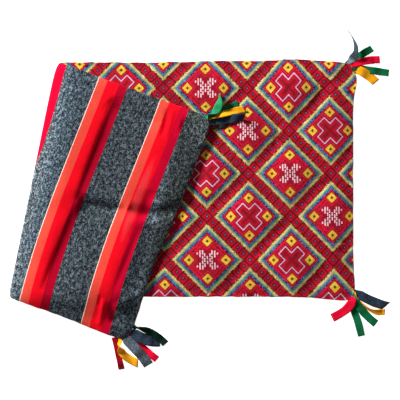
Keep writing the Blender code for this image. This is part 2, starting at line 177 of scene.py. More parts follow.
def lower_columns(y):
    """Points of the lower layer: fine steps in from the right end, then an even run to the fold."""
    start = RIGHT_END - EDGE_STEPS[-1]
    cells = round((start - float(fold_x(y).mean())) / PITCH)
    shares = np.arange(1, cells + 1) / cells
    edge = np.repeat((RIGHT_END - EDGE_STEPS)[:, None], len(y), axis=1)
    x = np.concatenate([edge, start + shares[:, None] * (fold_x(y)[None, :] - start)])
    points = np.stack([*swollen(x, y), np.full(x.shape, FLOOR_LEVEL)], axis=-1)
    normals = np.zeros_like(points)
    normals[..., 2] = 1.0
    return points, normals, x


def turn_columns(y):
    """Points of the turn about the fold: an arc carried along the fold line, slipping along it as the
    slanted cloth does, by an amount whose rate goes evenly from the lower layer's slant to the flap's."""
    angle = TURN_ANGLE * np.arange(1, TURN_CELLS + 1) / TURN_CELLS
    first_slip = fold_way[0]
    last_slip = -float(flap_way @ fold_way)
    slip = TURN_RADIUS * (first_slip * angle + (last_slip - first_slip) * angle**2 / (2 * TURN_ANGLE))
    plan = np.stack([fold_x(y), y], axis=-1) + (TURN_RADIUS * np.sin(angle))[:, None, None] * fold_out
    plan = plan - slip[:, None, None] * fold_way
    z = FLOOR_LEVEL + TURN_RADIUS * (1.0 - np.cos(angle))
    points = np.concatenate([plan, np.broadcast_to(z[:, None, None], plan.shape[:2] + (1,))], axis=-1)
    normals = np.empty_like(points)
    normals[..., :2] = -np.sin(angle)[:, None, None] * fold_out
    normals[..., 2] = np.cos(angle)[:, None]
    along = fold_x(y)[None] - TURN_RADIUS * angle[:, None]
    return points, normals, along


def flap_columns(y, start):
    """Points of the flap: straight lines from the fold to the hollow end, with the bottom hem bowed out."""
    share = across_share(y)[:, None]
    end = FLAP_BOTTOM_CORNER + share * (FLAP_TOP_CORNER - FLAP_BOTTOM_CORNER)
    end = end - FLAP_END_HOLLOW * np.exp(-(((share - HOLLOW_SHARE) / HOLLOW_WIDTH) ** 2)) * flap_way
    length = norm(end - start, axis=1)
    last = 1.0 - EDGE_STEPS[-1] / length.mean()
    cells = round(last * length.mean() / PITCH)
    steps = np.concatenate([last * np.arange(1, cells) / cells, 1.0 - EDGE_STEPS[::-1] / length.mean()])
    plan = start + steps[:, None, None] * (end - start)
    bow = FLAP_HEM_BOW * np.sin(np.pi * steps**HEM_BOW_POWER)
    low = np.clip(1.0 - share[:, 0] / HEM_BOW_SHARE, 0.0, 1.0) ** 2
    plan = plan - (bow[:, None] * low)[..., None] * flap_up
    step = 0.001
    slopes = [(flap_height(plan + way) - flap_height(plan - way)) / (2 * step) for way in step * np.eye(2)]
    points = np.concatenate([plan, flap_height(plan)[..., None]], axis=-1)
    normals = np.stack([*slopes, -np.ones(plan.shape[:2])], axis=-1)
    normals /= norm(normals, axis=-1, keepdims=True)
    return points, normals, length * (1.0 - steps[:, None]), length


middle_rows = round((TOP_EDGE - BOTTOM_EDGE - 2 * EDGE_STEPS[-1]) / PITCH)
row_y = np.concatenate([
    BOTTOM_EDGE + EDGE_STEPS[:-1],
    np.linspace(BOTTOM_EDGE + EDGE_STEPS[-1], TOP_EDGE - EDGE_STEPS[-1], middle_rows),
    TOP_EDGE - EDGE_STEPS[-2::-1],
])
low_seam, low_normal, low_x = lower_columns(row_y)
turn_seam, turn_normal, turn_x = turn_columns(row_y)
flap_seam, flap_normal, to_end, flap_length = flap_columns(row_y, turn_seam[-1][:, :2])
first_turn = len(low_seam)
first_flap = first_turn + len(turn_seam)
seam = np.concatenate([low_seam, turn_seam, flap_seam])
normal = np.concatenate([low_normal, turn_normal, flap_normal])
along = np.concatenate([low_x, turn_x, turn_x[-1] - (flap_length - to_end)])
across = np.broadcast_to(row_y, along.shape)
on_flap = np.zeros(along.shape, bool)
on_flap[first_flap:] = True
from_edge = np.minimum(across - BOTTOM_EDGE, TOP_EDGE - across)
from_end = RIGHT_END - along
from_end[first_flap:] = to_end
near_fold = smooth(np.abs(from_fold(seam)) / FOLD_REACH)
near_fold[first_turn:first_flap] = 0.0

# Creases and dents, pressed in by how the pad was folded and laid: start, bend and end on the plan, depth,
# and the widths left and right of the way, in millimetres. A negative depth is a ridge.
FLAP_CREASES = (
    ((-240, -3), (-198, -14), (-146, -21), 9.6, 10.5, 26),
    ((-142, -14), (-94, -27), (-26, -10), 8.4, 13, 12),
    ((-98, 20), (-106, -8), (-118, -38), 3.6, 14, 11),
    ((-154, 204), (-191, 94), (-231, -13), 6.8, 60, 19),
    ((-172, 190), (-212, 90), (-246, -2), 3.0, 9, 5),
    ((-215, 10), (-255, -94), (-293, -190), 7.6, 50, 27),
    ((-242, -6), (-280, -92), (-315, -180), 2.8, 13, 5),
    ((-178, 202), (-139, 170), (-80, 152), 4.0, 8, 16),
    ((-62, 184), (-68, 154), (-76, 126), 3.8, 3, 4),
    ((-54, 184), (-60, 156), (-68, 128), -1.8, 5, 4),
    ((-38, 152), (-16, 142), (8, 122), 5.0, 12, 14),
    ((-69, -30), (-95, -104), (-124, -188), 5.4, 26, 32),
    ((-118, -50), (-146, -118), (-176, -190), 1.8, 6, 6),
    ((-116, -187), (-142, -195), (-172, -213), -2.8, 5, 5),
    ((-198, -186), (-199, -197), (-200, -208), 2.0, 3.5, 3.5),
    ((-193, -196), (-196, -222), (-203, -250), -2.8, 5, 5),
    ((-186, -206), (-176, -224), (-176, -246), 3.8, 7, 5),
    ((-176, -228), (-166, -240), (-156, -264), 2.2, 10, 9),
)
LOWER_CREASES = (
    ((268, 250), (238, 208), (200, 168), 1.8, 14, 9),
    ((182, 244), (178, 222), (168, 204), 1.3, 8, 7),
    ((160, 156), (148, 112), (140, 80), 1.2, 9, 7),
    ((266, 56), (246, 22), (228, -8), 1.2, 10, 7),
    ((180, -86), (170, -112), (160, -142), 1.5, 10, 7),
    ((60, 262), (64, 236), (56, 206), 1.0, 9, 8),
)
CREASE_STEPS = 12
FLAP_CROWN = 0.0085
CROWN_REACH = 0.090
UNEVEN_FLAP = 0.0009
UNEVEN_PITCH = 0.040


def curve_through(start, bend, end, t):
    """A parabola from start through bend to end, and its way on, not yet of length one."""
    t = t[:, None]
    pull = 2.0 * bend - (start + end) / 2.0
    line = (1 - t) ** 2 * start + 2 * t * (1 - t) * pull + t**2 * end
    return line, 2 * (1 - t) * (pull - start) + 2 * t * (end - pull)


def crease_depth(creases, places):
    """Depth of the creases at places on the plan. Each is a curve through its start, bend and end, and
    across it a bell whose width differs on its two sides. It fades out towards both ends of the curve."""
    total = np.zeros(places.shape[:-1])
    t = np.linspace(0.0, 1.0, CREASE_STEPS)
    for *points, deepest, left, right in creases:
        line, _ = curve_through(*(np.array(points) / 1000.0), t)
        nearest = np.full(total.shape, np.inf)
        depth = np.zeros(total.shape)
        for start, way, share in zip(line, np.diff(line, axis=0), t):
            x, y = np.moveaxis(places[..., :2] - start, -1, 0)
            place = np.clip((x * way[0] + y * way[1]) / (way @ way), 0.0, 1.0)
            distance = np.hypot(x - place * way[0], y - place * way[1])
            width = np.where(way[0] * y - way[1] * x > 0.0, left, right) / 1000.0
            passed = share + place / (CREASE_STEPS - 1)
            fade = np.sqrt(np.clip(4.0 * passed * (1.0 - passed), 0.0, 1.0))
            bell = deepest / 1000.0 * fade * np.exp(-((distance / width) ** 2))
            depth = np.where(distance < nearest, bell, depth)
            nearest = np.minimum(distance, nearest)
        total += depth
    return total


sunk = np.zeros(along.shape)
sunk[first_flap:] = crease_depth(FLAP_CREASES, flap_seam)
crown = rounded(from_edge, CROWN_REACH) * rounded(from_end, CROWN_REACH) * near_fold
sunk -= np.where(on_flap, FLAP_CROWN * crown, 0.0)
sunk += np.where(on_flap, UNEVEN_FLAP * near_fold * unevenness(along, across, UNEVEN_PITCH, seed=5), 0.0)

edge = 1.0 - rounded(from_edge, RIM_REACH) * rounded(from_end, RIM_REACH)
corner = np.clip(1.0 - (from_edge + from_end) / CORNER_REACH, 0.0, 1.0) ** 2
inwards = seam[..., :2].mean(axis=1, keepdims=True) - seam[..., :2]
inwards /= norm(inwards, axis=-1, keepdims=True) + 1e-9
lengthways = np.where(on_flap[..., None], -flap_way, np.array([-1.0, 0.0]))
rim_lift = np.where(on_flap, RIM_LIFT + (FLAP_RIM_LIFT - RIM_LIFT) * near_fold, RIM_LIFT) * edge**2
seam = seam + (rim_lift + sunk)[..., None] * normal
seam[..., :2] += (CORNER_PULL * corner)[..., None] * (inwards + lengthways) / np.sqrt(2.0)
seam[..., 2] -= np.where(on_flap, FLAP_RIM_DROOP * edge**1.5 * near_fold, 0.0)

# Small puckers where the seam gathers the cloth: the edge line waves a little in plan
PUCKER_PITCH = 0.016
PUCKER_SIDE = 0.0008
PUCKER_REACH = 0.012
pucker = np.exp(-np.minimum(from_edge, from_end) / PUCKER_REACH)
wave = unevenness(along + across, along - across, PUCKER_PITCH, seed=11)
seam[..., :2] += (PUCKER_SIDE * pucker * wave)[..., None] * (inwards + lengthways)

# The quilted face. Hand-woven patterned cloth is stitched through its wadding along the trellis of the
# pattern, so the diamonds between the stitched lines puff up. Face and wadding are one padded piece.

CHANNEL_FILL = 0.0050
CROWN = 0.0012
PUFF = 0.0016
PRESSED_PUFF = 0.0006
FILL_REACH = 0.040
FREE_REACH = 0.035
PUFF_POWER = 2.5
DIAMOND_HALF_X = 0.0836
DIAMOND_HALF_Y = 0.0858
DIAMOND_CENTRE = (0.1782, 0.2252)
PUCKER_DEPTH = 0.0005
UNEVEN_FACE = 0.0005

# How far the loom's square pattern leans and has drawn in, as shares of the distance from its middle
PATTERN_LEAN = -0.0148
PATTERN_DRAW = -0.0074
PATTERN_MIDDLE = (0.140, 0.120)

# How far the cloth is pulled out of line when it is quilted: a sum of terms, each with its powers of the
# distances right of and below the pulled part's middle, and its millimetres sideways and down
PULLS = (
    (0, 0, -0.8, 0.3),
    (1, 0, -1.4, 0.0),
    (0, 1, -0.2, 0.1),
    (2, 0, 2.7, 0.6),
    (1, 1, -2.0, 0.1),
    (0, 2, -0.4, -1.8),
)
PULLED_MIDDLE = (0.101, 0.040)
PULL_UNIT = 0.2
PULL_LIMIT = 1.15


def woven_place(x, y):
    """Place in the pattern of a point of the flat cloth, which is woven and quilted a bit out of true."""
    right = np.clip((x - PULLED_MIDDLE[0]) / PULL_UNIT, -PULL_LIMIT, PULL_LIMIT)
    below = np.clip((PULLED_MIDDLE[1] - y) / PULL_UNIT, -PULL_LIMIT, PULL_LIMIT)
    place_x = x - PATTERN_LEAN * (y - PATTERN_MIDDLE[1]) - PATTERN_DRAW * (x - PATTERN_MIDDLE[0])
    place_y = y
    for right_power, below_power, sideways, down in PULLS:
        term = right**right_power * below**below_power / 1000.0
        place_x = place_x + sideways * term
        place_y = place_y - down * term
    return place_x, place_y


def diamond_place(x, y):
    """Place within a diamond along its two slanted ways, each from -1 to 1 between two stitched lines."""
    p = (x - DIAMOND_CENTRE[0]) / DIAMOND_HALF_X
    q = (y - DIAMOND_CENTRE[1]) / DIAMOND_HALF_Y
    u = p + q
    v = p - q
    return u - 2.0 * np.round(u / 2.0), v - 2.0 * np.round(v / 2.0)


def lip(distance, thickness):
    """Share of its thickness that a cloth has near its sewn edge: a quarter circle down to a twentieth."""
    share = 1.0 - np.clip(distance / thickness, 0.0, 1.0)
    return np.maximum(np.sqrt(1.0 - share**2), 0.05)


pattern_x, pattern_y = woven_place(along, across)
place_u, place_v = diamond_place(pattern_x, pattern_y)
dome = (1.0 - np.abs(place_u) ** PUFF_POWER) * (1.0 - np.abs(place_v) ** PUFF_POWER)
free = smooth(outside_flap(seam) / FREE_REACH)
puff = np.where(on_flap, PRESSED_PUFF, PRESSED_PUFF + (PUFF - PRESSED_PUFF) * free) * near_fold
body = CHANNEL_FILL + CROWN * np.sin(np.pi * across_share(across)) * near_fold + puff * dome - sunk
body += UNEVEN_FACE * unevenness(along, across, UNEVEN_PITCH, seed=8) * free * near_fold
body -= np.where(on_flap, 0.0, crease_depth(LOWER_CREASES, seam))
soft = rounded(from_edge, FILL_REACH) * rounded(from_end, FILL_REACH)
from_rim = np.minimum(from_edge, from_end)
fill = (RIM_FACE + (body - RIM_FACE) * soft) * lip(from_rim, RIM_FACE)
fill -= PUCKER_DEPTH * pucker * (1.0 + wave) * lip(from_rim, PUCKER_REACH)
face_inner = seam + GAP * normal
face_outer = seam + (GAP + fill)[..., None] * normal
face_outer[..., 2] = np.maximum(face_outer[..., 2], 0.0)


def grid_faces(columns, rows, first, flip):
    """Four vertex numbers for each cell of a grid that starts at vertex first, turned round if flip."""
    index = first + np.arange(columns * rows).reshape(columns, rows)
    faces = np.stack([index[:-1, :-1], index[1:, :-1], index[1:, 1:], index[:-1, 1:]], axis=-1)
    faces = faces.reshape(-1, 4)
    return faces[:, ::-1] if flip else faces


def rim_indices(columns, rows):
    """Vertex numbers once round a grid's rim, from its first corner along the first row."""
    index = np.arange(columns * rows).reshape(columns, rows)
    return np.concatenate([index[:-1, 0], index[-1, :-1], index[:0:-1, -1], index[0, :0:-1]])


def lay_uv(mesh, name, corner_places):
    """Gives the mesh a UV map from an array with one place for each face corner."""
    layer = mesh.uv_layers.new(name=name)
    layer.data.foreach_set("uv", np.ascontiguousarray(corner_places, np.float32).ravel())


def new_object(name, data):
    """An object of that data, put into the scene."""
    made = bpy.data.objects.new(name, data)
    bpy.context.scene.collection.objects.link(made)
    return made


def closed_cloth(name, outer, inner, flip, cloth_uv, finish):
    """A closed cloth between two grids of the same division, joined round their rims. Its Cloth map gives
    each point's place on the flat cloth in metres. OFBake has the outer side below, the inner side above
    it and the rim in a strip beside both."""
    columns, rows = outer.shape[:2]
    count = columns * rows
    ring = rim_indices(columns, rows)
    after = np.roll(ring, -1)
    rim = np.stack([ring, ring + count, after + count, after], axis=-1)
    rim = rim[:, ::-1] if flip else rim
    sides = [grid_faces(columns, rows, 0, flip), grid_faces(columns, rows, count, not flip)]
    faces = np.concatenate([*sides, rim])
    points = np.concatenate([outer.reshape(-1, 3), inner.reshape(-1, 3)])
    mesh = bpy.data.meshes.new(name)
    mesh.from_pydata(points.tolist(), [], faces.tolist())
    mesh.shade_smooth()
    corners = faces.ravel()
    lay_uv(mesh, "Cloth", cloth_uv.reshape(-1, 2)[corners % count])
    side_wide, side_tall, inner_from, rim_from = 0.97, 0.49, 0.51, 0.98
    sizes = np.linspace(0.0, side_wide, columns), np.linspace(0.0, side_tall, rows)
    bake = np.stack(np.meshgrid(*sizes, indexing="ij"), axis=-1).reshape(-1, 2)[corners % count]
    bake[:, 1] += inner_from * (corners >= count)
    rim_s = np.where(rim < count, rim_from, 1.0)
    rim_t = (np.arange(len(ring))[:, None] + (rim % count == after[:, None])) / len(ring)
    bake[-rim.size:] = np.stack([rim_s, rim_t], axis=-1).reshape(-1, 2)
    lay_uv(mesh, "OFBake", bake)
    mesh.materials.append(finish)
    return new_object(name, mesh)


# How the cloth of the face is let puff up between its stitched lines
SWELL_CLOTH = 0.008
SWELL_PRESSURE = 4.0
SWELL_FRAMES = 20
SWELL_CAP = 0.005
STITCH_WIDTH = 0.055
HELD_RIM = 0.003
HELD_SHARE = 0.1
VERTEX_MASS = 0.001


def swell_between_stitches(points, pinned):
    """The grid after cloth simulation: the pinned points stay, and air pressure lifts the slightly too
    large cloth between them, which draws it into small wrinkles. No point moves further than the cap."""
    columns, rows = points.shape[:2]
    mesh = bpy.data.meshes.new("swelling")
    mesh.from_pydata(points.reshape(-1, 3).tolist(), [], grid_faces(columns, rows, 0, True).tolist())
    trial = new_object("swelling", mesh)
    stitched = trial.vertex_groups.new(name="stitched")
    stitched.add(np.flatnonzero(pinned).tolist(), 1.0, "REPLACE")
    cloth = trial.modifiers.new("cloth", "CLOTH")
    settings = cloth.settings
    settings.quality = 5
    settings.mass = VERTEX_MASS
    settings.vertex_group_mass = "stitched"
    settings.use_pressure = True
    settings.uniform_pressure_force = SWELL_PRESSURE
    settings.shrink_min = -SWELL_CLOTH
    settings.effector_weights.gravity = 0.0
    cloth.point_cache.frame_end = SWELL_FRAMES
    scene = bpy.context.scene
    for number in range(1, SWELL_FRAMES + 1):
        scene.frame_set(number)
    result = trial.evaluated_get(bpy.context.evaluated_depsgraph_get())
    swollen_points = np.empty(columns * rows * 3, np.float32)
    result.data.vertices.foreach_get("co", swollen_points)
    bpy.data.objects.remove(trial)
    bpy.data.meshes.remove(mesh)
    scene.frame_set(1)
    moved = swollen_points.reshape(points.shape) - points
    far = norm(moved, axis=-1, keepdims=True)
    return points + moved * np.minimum(1.0, SWELL_CAP / np.maximum(far, 1e-9))


low = slice(0, first_turn)
stitched_line = np.maximum(np.abs(place_u[low]), np.abs(place_v[low])) > 1.0 - STITCH_WIDTH
held = stitched_line | (from_rim[low] < HELD_RIM) | (free[low] < HELD_SHARE)
start = face_outer[low]
face_outer[low] = start + (swell_between_stitches(start, held) - start) * free[low][..., None]


def linear(colour):
    """Linear red, green and blue of an sRGB hex colour, and full alpha."""
    shares = [int(colour[i : i + 2], 16) / 255 for i in (0, 2, 4)]
    return (*(s / 12.92 if s <= 0.04045 else ((s + 0.055) / 1.055) ** 2.4 for s in shares), 1.0)


def add_node(tree, kind, *feeds, out=0, stops=(), reach=1.0, steps="CONSTANT", **settings):
    """Adds a shader node, sets it, feeds its inputs with values or links and returns one of its outputs. A
    kind in capitals is a Math node's operation, or after VECTOR_ a Vector Math node's. Feeds go to the
    inputs in their order, or by name or number where they are a dict, and text is an sRGB hex colour. A
    Mix node mixes colours, by a share. Stops are a colour ramp's places, as shares of reach, and colours,
    and steps is how the ramp goes between them."""
    if kind.isupper():
        settings["operation"] = kind.removeprefix("VECTOR_")
        kind = "VectorMath" if kind.startswith("VECTOR_") else "Math"
    made = tree.nodes.new("ShaderNode" + kind)
    if kind == "Mix":
        made.data_type = "RGBA"
        out, feeds = 2, [dict(zip((0, 6, 7), feeds))]
    for name, value in settings.items():
        setattr(made, name, value)
    if stops:
        made.color_ramp.interpolation = steps
        elements = made.color_ramp.elements
        for place, _ in stops[2:]:
            elements.new(place / reach)
        for element, (place, colour) in zip(elements, stops):
            element.position = place / reach
            element.color = linear(colour)
    given = feeds[0] if feeds and isinstance(feeds[0], dict) else dict(enumerate(feeds))
    for name, value in given.items():
        if isinstance(value, bpy.types.NodeSocket):
            tree.links.new(value, made.inputs[name])
        else:
            made.inputs[name].default_value = linear(value) if isinstance(value, str) else value
    return made.outputs[out] if made.outputs else None


def new_finish(name):
    """An empty material, and the function that adds a node to it."""
    made = bpy.data.materials.new(name)
    made.use_nodes = True
    made.node_tree.nodes.clear()
    return made, partial(add_node, made.node_tree)


# The weaver's chart. The cloth's own threads are too fine to show, so it is counted in pattern threads of
# 2.6 mm, 32 from a diamond's middle to the middle of the lattice band round it, and drawn to half a thread.
# Rings say where a colour starts, counted along the slanted ways from the middle. A fade or a range of
# shades is two places and the value at each.
THREADS = 32
HALF_THREAD = 0.5
RINGS = (
    (0.0, "BC102C"), (12.5, "7E0418"), (13.4, "C01032"), (16.4, "7C0214"), (17.3, "CA1034"),
    (19.8, "30041E"), (20.7, "4E78AE"), (21.5, "1C3E62"), (22.2, "4C8C9C"), (23.0, "588660"),
    (23.6, "A2A262"), (24.4, "CEBE82"), (25.7, "988A50"), (26.4, "3E0008"), (27.2, "AC0822"),
)
YELLOW_RINGS = (
    (0.0, "24382A"), (0.9, "8A8A2E"), (1.5, "E8B638"), (4.0, "7A0A18"), (4.9, "CC1236"), (6.3, "8E0618"),
)
DOT_RINGS = ((0.0, "68769E"), (0.5, "32103A"), (1.3, "76041E"))
SMALL_REACH = 10.0
RAGGED_THREADS = 1.2
GROUND_FADE = (8.0, 13.0, 0.6, 0.0)
CROSS_ARM = 5.3
CROSS_REACH = 14.1
CROSS_FADE = (-5.2, -2.4, 0.8, 0.1)
CROSS_LINE = 0.5
CROSS_SHADOW = 1.25
SHADOW_SHARE = 0.7
YELLOW_PLACE = 13.6
YELLOW_END = 7.0
YELLOW_INSIDE = 18.6
LATTICE_FIRST = 27.2
SQUARES_PER_SIDE = 3.5
PARTING_PLACE = 0.415
PARTING_SHARE = 0.85
DOT_END = 2.0

# The star's upright stitches, in stitch pitches: how far its bricks rise past their column's number, and
# the single stitches beside them as column, row and half height
STITCH_PITCH = 1.86
STITCH_HALF_WIDTH = 0.27
BRICK_HALF_HEIGHT = 0.72
BRICK_COLUMNS = 2.5
BRICKS_RISE = 1.8
SIDE_STITCHES = ((3.0, 2.5, 1.3), (4.0, 2.5, 0.4))
COLUMN_MARGIN = 0.3

WEAVE_WOBBLE = 0.0016
THREAD_SHADES = (0.0, 1.0, 1.26, 0.74)
PATCH_SHADES = (0.36, 0.64, 0.80, 1.18)
ROSE_FADE = (0.48, 0.66, 0.0, 0.5)
THREAD_ROUNDING = (0.2, 0.7, 1.0, 0.0)
RIB_SHARE = 0.35


def woven_pattern_finish():
    """Hand-woven cotton and wool with a supplementary-weft trellis of diamonds: matte, with each pattern
    thread a slightly different shade, ragged slanted lines, and fine ribs where the wefts float."""
    made, add = new_finish("hand_woven_trellis_cloth")
    half = (0.5, 0.5, 0.5)
    place = add("UVMap", uv_map="Cloth")
    drift = add("TexNoise", {0: place, "Scale": 38.0, "Detail": 2.0}, out=1)
    drift = add("VECTOR_SUBTRACT", drift, half)
    place = add("VECTOR_MULTIPLY_ADD", drift, (WEAVE_WOBBLE,) * 3, place)
    per_metre = (THREADS / DIAMOND_HALF_X, THREADS / DIAMOND_HALF_Y, 0.0)
    centre = tuple(-c * n for c, n in zip(DIAMOND_CENTRE, per_metre))
    thread = add("VECTOR_MULTIPLY_ADD", place, per_metre, (*centre, 0.0))
    stepped = add("VECTOR_SNAP", thread, (HALF_THREAD,) * 3)
    count = add("VECTOR_ADD", stepped, (HALF_THREAD / 2, HALF_THREAD / 2, 0.0))
    jitter = add("TexWhiteNoise", count, noise_dimensions="3D")

    # Counts along the two slanted ways, then the place within the diamond that the thread belongs to
    slanted = add("CombineXYZ", *(
        add("VECTOR_DOT_PRODUCT", count, (1.0, way, 0.0), out=1) for way in (1.0, -1.0)
    ))
    repeat = 2.0 * THREADS
    share = add("VECTOR_MULTIPLY_ADD", slanted, (1 / repeat,) * 3, half)
    diamond = add("VECTOR_FLOOR", share)
    inside = add("VECTOR_MULTIPLY_ADD", diamond, (-repeat,) * 3, slanted)
    split = add("VECTOR_ABSOLUTE", inside)
    steps = [add("SeparateXYZ", split, out=way) for way in (0, 1)]
    ring = add("MAXIMUM", *steps)
    along_band = add("MINIMUM", *steps)
    sideways, upwards = (
        add("ABSOLUTE", add("VECTOR_DOT_PRODUCT", inside, (0.5, way, 0.0), out=1))
        for way in (0.5, -0.5)
    )
    starred = add("FLOORED_MODULO", add("SeparateXYZ", diamond, out=0), 2.0)
    plain = add("SUBTRACT", 1.0, starred)

    # Rings of the diamond with ragged edges, and the ground round the star, which is darker
    ragged = add("MULTIPLY_ADD", jitter, RAGGED_THREADS, ring)
    ragged = add("MULTIPLY_ADD", ragged, 1.0 / THREADS, -0.5 * RAGGED_THREADS / THREADS)
    colour = add("ValToRGB", ragged, stops=RINGS, reach=THREADS)
    ground = add("MULTIPLY", add("MapRange", ring, *GROUND_FADE), starred)
    colour = add("Mix", ground, colour, "6C0826")

    # The slanted cross of the plain diamonds: a pale line two half threads wide, with dark threads beside
    # it and a dark inside
    cross = add("MAXIMUM", add("SUBTRACT", along_band, CROSS_ARM), add("SUBTRACT", ring, CROSS_REACH))
    inner = add("MULTIPLY", add("MapRange", cross, *CROSS_FADE), add("LESS_THAN", cross, 0.0))
    shadow = add("MULTIPLY", add("COMPARE", cross, 0.0, CROSS_SHADOW), SHADOW_SHARE)
    line = add("COMPARE", cross, 0.0, CROSS_LINE)
    for share, tint in ((inner, "6A0416"), (shadow, "7A0A34"), (line, "E2B8D0")):
        colour = add("Mix", add("MULTIPLY", share, plain), colour, tint)

    # White floats of the starred diamonds: upright stitches in nine columns, set like bricks
    stitch_column = add("MULTIPLY", sideways, 1.0 / STITCH_PITCH)
    stitch_row = add("MULTIPLY", upwards, 1.0 / STITCH_PITCH)
    number = add("ROUND", stitch_column)
    brick = add("FLOORED_MODULO", add("ADD", stitch_row, number), 2.0)
    floats = add("COMPARE", brick, 1.0, BRICK_HALF_HEIGHT)
    below = add("LESS_THAN", stitch_row, add("ADD", number, BRICKS_RISE))
    for mask in (below, add("LESS_THAN", number, BRICK_COLUMNS)):
        floats = add("MULTIPLY", floats, mask)
    for column, row, half_height in SIDE_STITCHES:
        in_column = add("COMPARE", number, column, COLUMN_MARGIN)
        stitch = add("MULTIPLY", add("COMPARE", stitch_row, row, half_height), in_column)
        floats = add("MAXIMUM", floats, stitch)
    for mask in (add("COMPARE", stitch_column, number, STITCH_HALF_WIDTH), starred):
        floats = add("MULTIPLY", floats, mask)
    colour = add("Mix", floats, colour, "F2CCD2")

    # Small yellow diamonds to the sides of each motif, in their own dark and red outlines
    yellow = add("MINIMUM", *(
        add("ADD", add("ABSOLUTE", add("SUBTRACT", one, YELLOW_PLACE)), other)
        for one, other in ((sideways, upwards), (upwards, sideways))
    ))
    covered = add("MULTIPLY", add("LESS_THAN", yellow, YELLOW_END), add("LESS_THAN", ring, YELLOW_INSIDE))
    yellow = add("MULTIPLY", yellow, 1.0 / SMALL_REACH)
    yellow = add("ValToRGB", yellow, stops=YELLOW_RINGS, reach=SMALL_REACH)
    colour = add("Mix", covered, colour, yellow)

    # The lattice band: squares parted by dark threads, each with a dark ring and a pale blue dot in it
    square = add("FLOORED_MODULO", add("MULTIPLY", along_band, SQUARES_PER_SIDE / THREADS), 1.0)
    from_dot = add("ABSOLUTE", add("SUBTRACT", square, 0.5))
    parting = add("MULTIPLY", add("GREATER_THAN", from_dot, PARTING_PLACE), PARTING_SHARE)
    parting = add("MULTIPLY", parting, add("GREATER_THAN", ring, LATTICE_FIRST))
    colour = add("Mix", parting, colour, "44020A")
    from_dot = add("MULTIPLY", from_dot, THREADS / SQUARES_PER_SIDE)
    from_dot = add("MAXIMUM", from_dot, add("SUBTRACT", float(THREADS), ring))
    dot = add("MULTIPLY", from_dot, 1.0 / SMALL_REACH)
    dot = add("ValToRGB", dot, stops=DOT_RINGS, reach=SMALL_REACH)
    colour = add("Mix", add("LESS_THAN", from_dot, DOT_END), colour, dot)

    # Dye differences: each thread its own shade, and patches that are paler, darker or nearer rose
    patch = add("TexNoise", {0: place, "Scale": 22.0, "Detail": 3.0})
    shade = add("MULTIPLY", add("MapRange", jitter, *THREAD_SHADES), add("MapRange", patch, *PATCH_SHADES))
    colour = add("VECTOR_SCALE", {0: colour, 3: shade})
    rose = add("TexNoise", {0: place, "Scale": 60.0, "Detail": 3.0, "Roughness": 0.6})
    rose = add("MapRange", rose, *ROSE_FADE)
    colour = add("Mix", rose, colour, "E01A60", blend_type="SOFT_LIGHT")

    # Relief: the rounded back of each float, and the fine ribs of the ground weft between them
    rib = {0: place, "Scale": 118.0, "Distortion": 0.6, "Detail": 1.0}
    rib = add("TexWave", rib, out=1, wave_type="BANDS", bands_direction="Y")
    part = add("VECTOR_FRACTION", thread)
    part = add("VECTOR_DISTANCE", part, half, out=1)
    relief = add("MULTIPLY_ADD", rib, RIB_SHARE, add("MapRange", part, *THREAD_ROUNDING))
    add("OutputMaterial", add("BsdfPrincipled", {
        "Base Color": colour,
        "Normal": add("Bump", {"Strength": 0.5, "Distance": 0.0005, "Height": relief}),
        "Roughness": 0.9,
        "Specular IOR Level": 0.15,
        "Sheen Weight": 0.08,
        "Sheen Roughness": 0.5,
        "Sheen Tint": "F0A0A8",
    }))
    return made


face_place = np.stack([pattern_x, pattern_y], axis=-1)
woven_face = closed_cloth("woven_face", face_outer, face_inner, True, face_place, woven_pattern_finish())
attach(woven_face, "root")
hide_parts("pillow_face")

# The wool back. One cut length of brushed melange wool with woven bands in orange, red and crimson, each
# with a thin cream thread at its side. It is sewn to the face all round and wraps the outside of the fold.

STRIPE_WAY = np.radians(-19.6)
STRIPE_START = np.array([0.0195, 0.164])
STRIPE_BOW = 0.008
BOW_POWER = 1.5
PULLED_AT_FOLD = 0.0112
PULLED_FROM = 0.2356
PULLED_REACH = 0.065
PULLED_SHARE = 0.40
STRAIGHT_AFTER = 0.25

# Where each band of dyed yarn starts in a repeat, from the flap's end on
BAND_REPEAT = 0.130
CRIMSON, RED, ORANGE, CREAM, GREY = 0.0450, 0.0622, 0.0866, 0.1036, 0.1056
BANDS = (
    (0.0, "53575F"), (CRIMSON, "CC022C"), (RED, "EA081E"), (ORANGE, "DC4638"), (CREAM, "F2D4C4"),
    (GREY, "53575F"),
)
RAGGED_EDGE = 0.0012
# Share of painted shade on the crimson of the band nearer the fold
CRIMSON_PAINTED_SHADE = 0.30
# Middle, size per metre and fade of a painted highlight on the red yarn nearest the flap's end
HIGHLIGHT_MIDDLE = (0.075, 0.075, 0.0)
HIGHLIGHT_PER_METRE = (110.0, 12.0, 0.0)
HIGHLIGHT_EDGE = (0.6, 1.15, 0.75, 0.0)
YARN_LENGTH = 0.08
YARN_SHADES = (0.55, 0.95, 0.86, 1.12)
DYE_PATCHES = (0.35, 0.65, 0.9, 1.1)

# The wool's own fibres are too fine to show, so flecks and tufts of them are drawn, in metres
WOOL_FLECK = 0.0021
FLECK_LENGTH = 0.62
WOOL_TUFT = 0.0056
TUFT_SHARE = 0.60
WOOL_GREYS = ((0.64, "14191C"), (0.72, "31383C"), (0.80, "4F585E"), (0.88, "747F86"), (0.98, "A4B0B7"))

